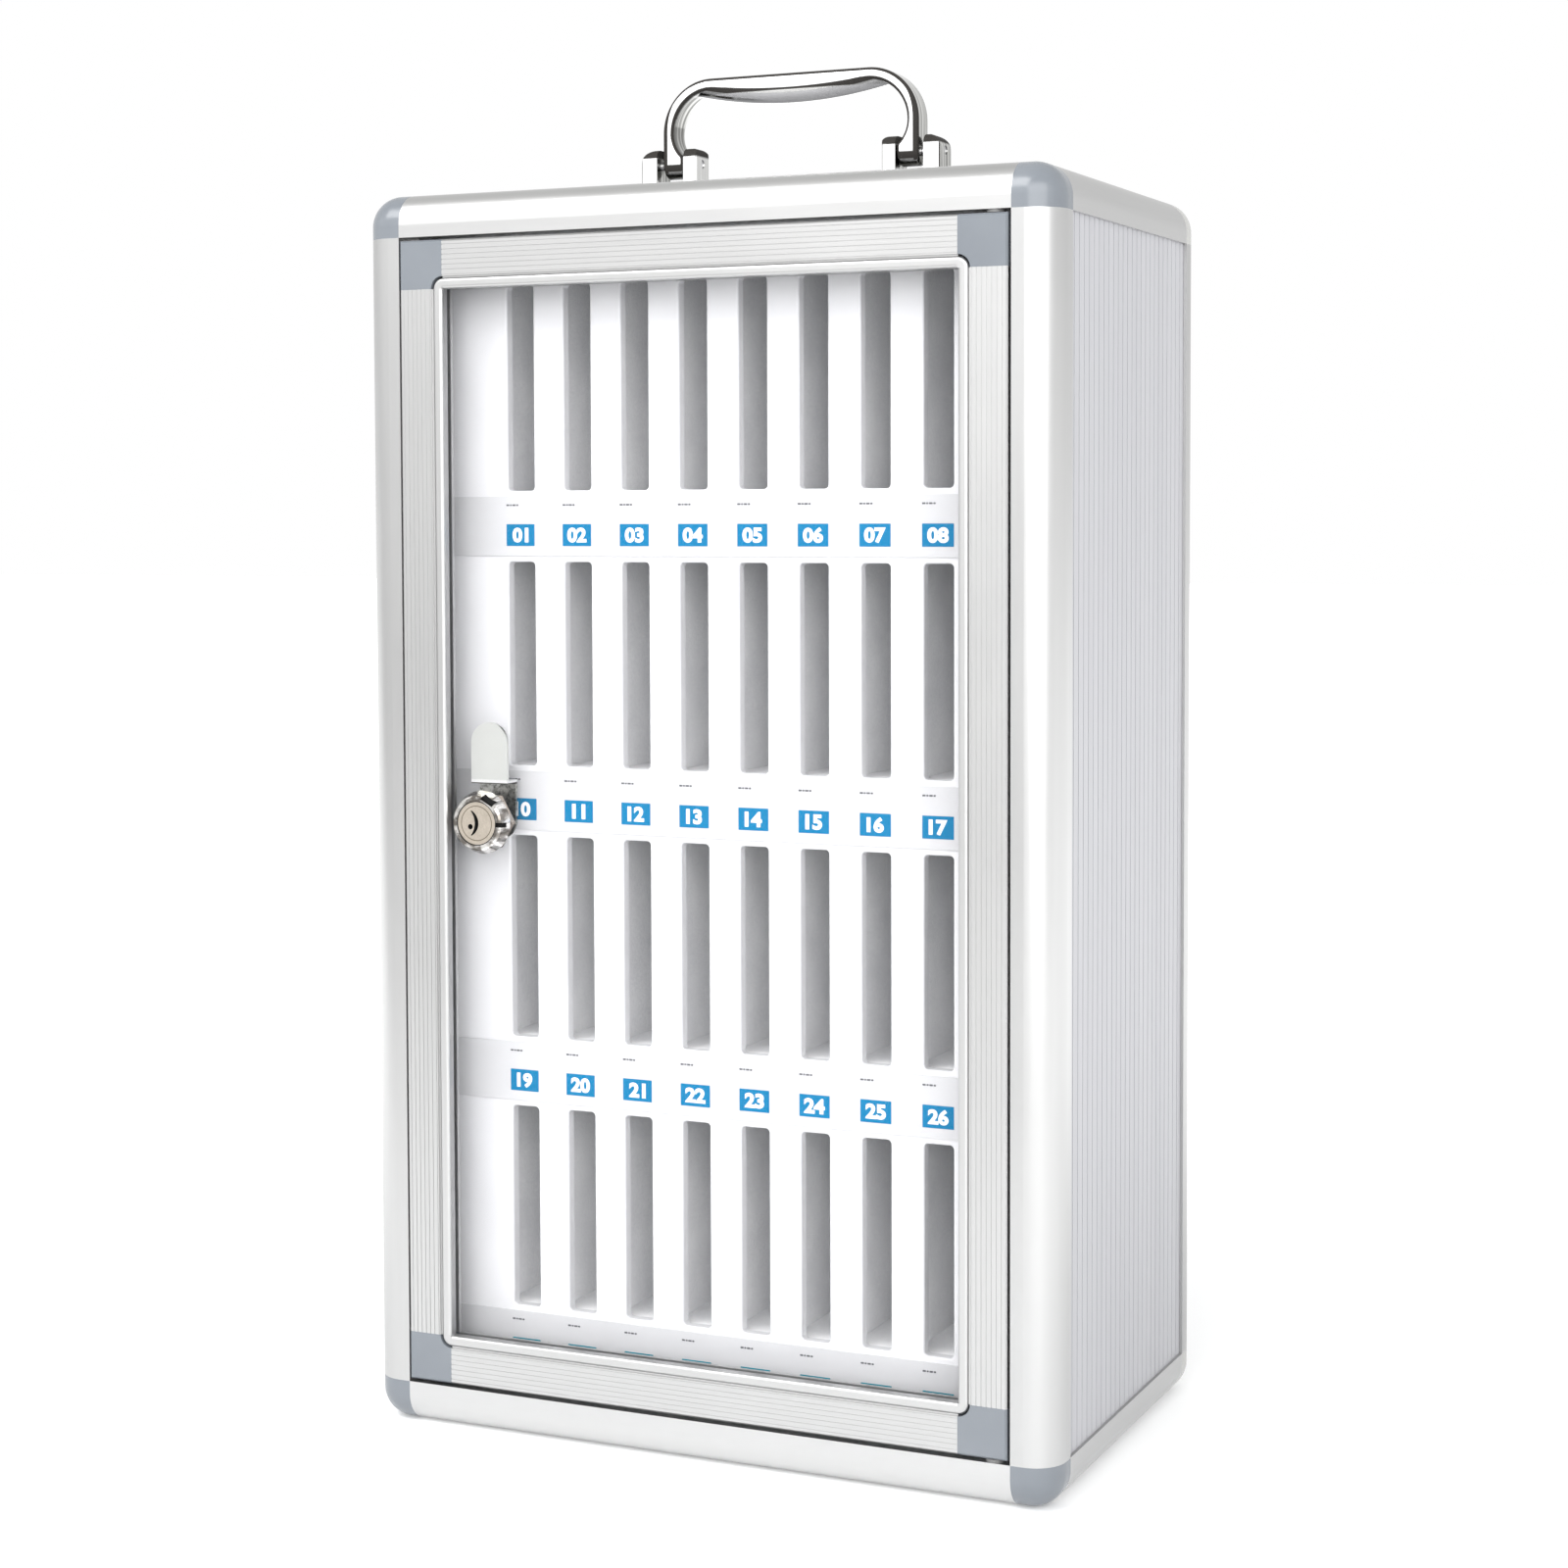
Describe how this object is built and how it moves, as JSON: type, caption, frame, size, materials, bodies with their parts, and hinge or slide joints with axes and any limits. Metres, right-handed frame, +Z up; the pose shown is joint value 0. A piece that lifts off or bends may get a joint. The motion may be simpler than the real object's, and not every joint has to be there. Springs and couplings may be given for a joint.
{
  "type": "wall cabinet",
  "caption": "Shallow lockable storage cabinet with rounded metal edges, glazed door, rows of narrow upright slots and a folding top handle; hangs on wall screws.",
  "frame": {"origin": "middle of the case's footprint, at the level of its underside", "axes": "+Z up, -Y out of the door, +Y to the wall, +X to the hinge side"},
  "size_m": [0.325, 0.201, 0.6072],
  "materials": {
    "frame_aluminium": "satin anodised",
    "door_aluminium": "satin anodised, fluted",
    "corner_grey": "smooth moulded, slight sheen",
    "corner_silver": "smooth moulded, silver grey",
    "panel_board": "satin, fine upright ribs",
    "rack_white": "white, smooth",
    "divider_grey": "grey, lightly mottled",
    "label_strip": "printed, with plain numbers",
    "clear_acrylic": "clear, polished",
    "pin_steel": "turned",
    "bush_nylon": "dark grey nylon",
    "lock_chrome": "polished, lightly worn",
    "plated_steel": "nickel plated",
    "handle_chrome": "plated, polished",
    "bracket_chrome": "cast and plated, polished"
  },
  "bodies": {
    "cabinet": {"post_front_left": "frame_aluminium", "post_front_right": "frame_aluminium", "post_rear_left": "frame_aluminium", "post_rear_right": "frame_aluminium", "rail_bottom_front": "frame_aluminium", "rail_bottom_rear": "frame_aluminium", "rail_bottom_left": "frame_aluminium", "rail_bottom_right": "frame_aluminium", "rail_top_front": "frame_aluminium", "rail_top_rear": "frame_aluminium", "rail_top_left": "frame_aluminium", "rail_top_right": "frame_aluminium", "corner_bottom_front_left": "corner_grey", "corner_bottom_front_right": "corner_grey", "corner_top_front_left": "corner_grey", "corner_top_front_right": "corner_grey", "corner_bottom_rear_left": "corner_silver", "corner_bottom_rear_right": "corner_silver", "corner_top_rear_left": "corner_silver", "corner_top_rear_right": "corner_silver", "panel_left": "panel_board", "panel_right": "panel_board", "panel_top": "panel_board", "panel_bottom": "panel_board", "panel_back": "panel_board", "slot_board_1": "rack_white", "slot_board_2": "rack_white", "slot_board_3": "rack_white", "slot_board_4": "rack_white", "dividers_1": "divider_grey", "dividers_2": "divider_grey", "dividers_3": "divider_grey", "dividers_4": "divider_grey", "shelves": "divider_grey", "label_strip_1": "label_strip", "label_strip_2": "label_strip", "label_strip_3": "label_strip", "label_strip_4": "label_strip", "hinge_bushes": "bush_nylon", "handle_bracket_left": "bracket_chrome", "handle_bracket_right": "bracket_chrome", "handle_pins": "pin_steel", "handle_screws": "plated_steel"},
    "door": {"door_stile_lock": "door_aluminium", "door_stile_hinge": "door_aluminium", "door_rail_bottom": "door_aluminium", "door_rail_top": "door_aluminium", "door_corner_bottom_left": "corner_grey", "door_corner_bottom_right": "corner_grey", "door_corner_top_left": "corner_grey", "door_corner_top_right": "corner_grey", "door_window": "clear_acrylic", "hinge_pins": "pin_steel", "lock_housing": "lock_chrome", "lock_nut": "plated_steel"},
    "lock_core": {"lock_plug": "lock_chrome", "lock_cam": "plated_steel", "lock_cam_screw": "plated_steel"},
    "handle": {"handle_bail": "handle_chrome"}
  },
  "joints": [
    {"name": "door_swing", "type": "hinge", "parent": "cabinet", "child": "door", "pos_m": [0.135, -0.0955, 0.275], "axis": [0, 0, 1], "range_deg": [0, 110]},
    {"name": "lock_turn", "type": "hinge", "parent": "door", "child": "lock_core", "pos_m": [-0.1055, -0.1, 0.273], "axis": [0, 1, 0], "range_deg": [-90, 0]},
    {"name": "handle_fold", "type": "hinge", "parent": "cabinet", "child": "handle", "pos_m": [0, 0.007, 0.5692], "axis": [1, 0, 0], "range_deg": [-105, 105]}
  ]
}
